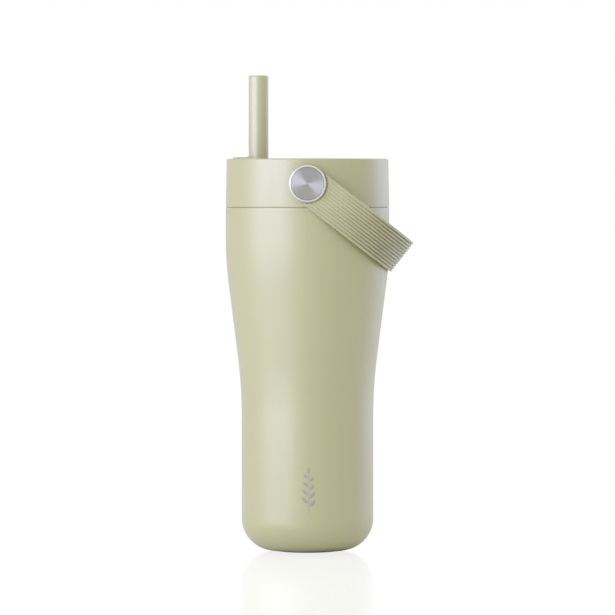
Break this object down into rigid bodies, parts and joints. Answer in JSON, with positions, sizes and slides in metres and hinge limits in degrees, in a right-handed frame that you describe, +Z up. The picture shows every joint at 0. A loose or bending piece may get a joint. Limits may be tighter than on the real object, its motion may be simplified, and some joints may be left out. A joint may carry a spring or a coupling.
{
  "type": "insulated travel mug",
  "caption": "double-walled insulated travel mug with a screw-on lid, a flip-up drinking spout and a ribbed carry strap that swings over the lid",
  "frame": {"origin": "centre of the base pad's underside, where the mug's axis meets the surface it stands on", "axes": "+Z up along the mug's axis, -X towards the spout, +X the side the carry strap rests on, Y along the strap's pivot axis"},
  "size_m": [0.0996, 0.0962, 0.2524],
  "materials": {
    "sage_powder_coat": "fine matte powder coat, light sage green",
    "sage_plastic": "matte moulded plastic, the same sage green",
    "sage_rubber": "matte ribbed rubber, sage green, a little darker",
    "stainless_steel": "drawn and brushed stainless steel",
    "spun_steel": "spun brushed face with a bright bevel",
    "liner_plastic": "pale moulded polypropylene",
    "straw_plastic": "translucent-looking pale tube",
    "silicone": "soft white silicone",
    "nylon": "natural nylon",
    "pad_rubber": "matte dark olive rubber",
    "copper_foil": "thin bright copper-coloured foil",
    "getter_alloy": "pressed grey metal powder",
    "glass_solder": "dark glassy solder bead"
  },
  "bodies": {
    "body": {"outer_shell": "sage_powder_coat", "inner_vessel": "stainless_steel", "outer_base": "stainless_steel", "reflector_foil": "copper_foil", "getter": "getter_alloy", "vacuum_plug": "glass_solder", "base_pad": "pad_rubber"},
    "gasket": {"lid_gasket": "silicone"},
    "lid": {"lid_shell": "sage_plastic", "lid_plug": "liner_plastic", "nipple_seal": "silicone", "vent_valve": "silicone", "straw_connector": "silicone", "lower_straw": "straw_plastic", "spout_seal": "silicone", "spout_pin_front": "stainless_steel", "spout_pin_back": "stainless_steel", "pivot_cap_front": "spun_steel", "pivot_cap_back": "spun_steel", "pivot_bush_front": "nylon", "pivot_bush_back": "nylon", "pivot_washer_front": "stainless_steel", "pivot_washer_back": "stainless_steel", "pivot_screw_front": "stainless_steel", "pivot_screw_back": "stainless_steel"},
    "spout": {"spout": "sage_plastic"},
    "strap": {"carry_strap": "sage_rubber"}
  },
  "joints": [
    {"name": "lid_lift", "type": "slide", "parent": "body", "child": "gasket", "axis": [0, 0, 1], "range_m": [0, 0.0055]},
    {"name": "lid_turn", "type": "hinge", "parent": "gasket", "child": "lid", "pos_m": [0, 0, 0.1824], "axis": [0, 0, 1], "range_deg": [0, 330]},
    {"name": "spout_flip", "type": "hinge", "parent": "lid", "child": "spout", "pos_m": [-0.026, 0, 0.2], "axis": [0, 1, 0], "range_deg": [0, 90]},
    {"name": "strap_swing", "type": "hinge", "parent": "lid", "child": "strap", "pos_m": [0, 0, 0.195], "axis": [0, -1, 0], "range_deg": [0, 136]}
  ],
  "couplings": [
    {"joint": "lid_lift", "follows": "lid_turn", "m_per_rad": 0.00095493}
  ]
}
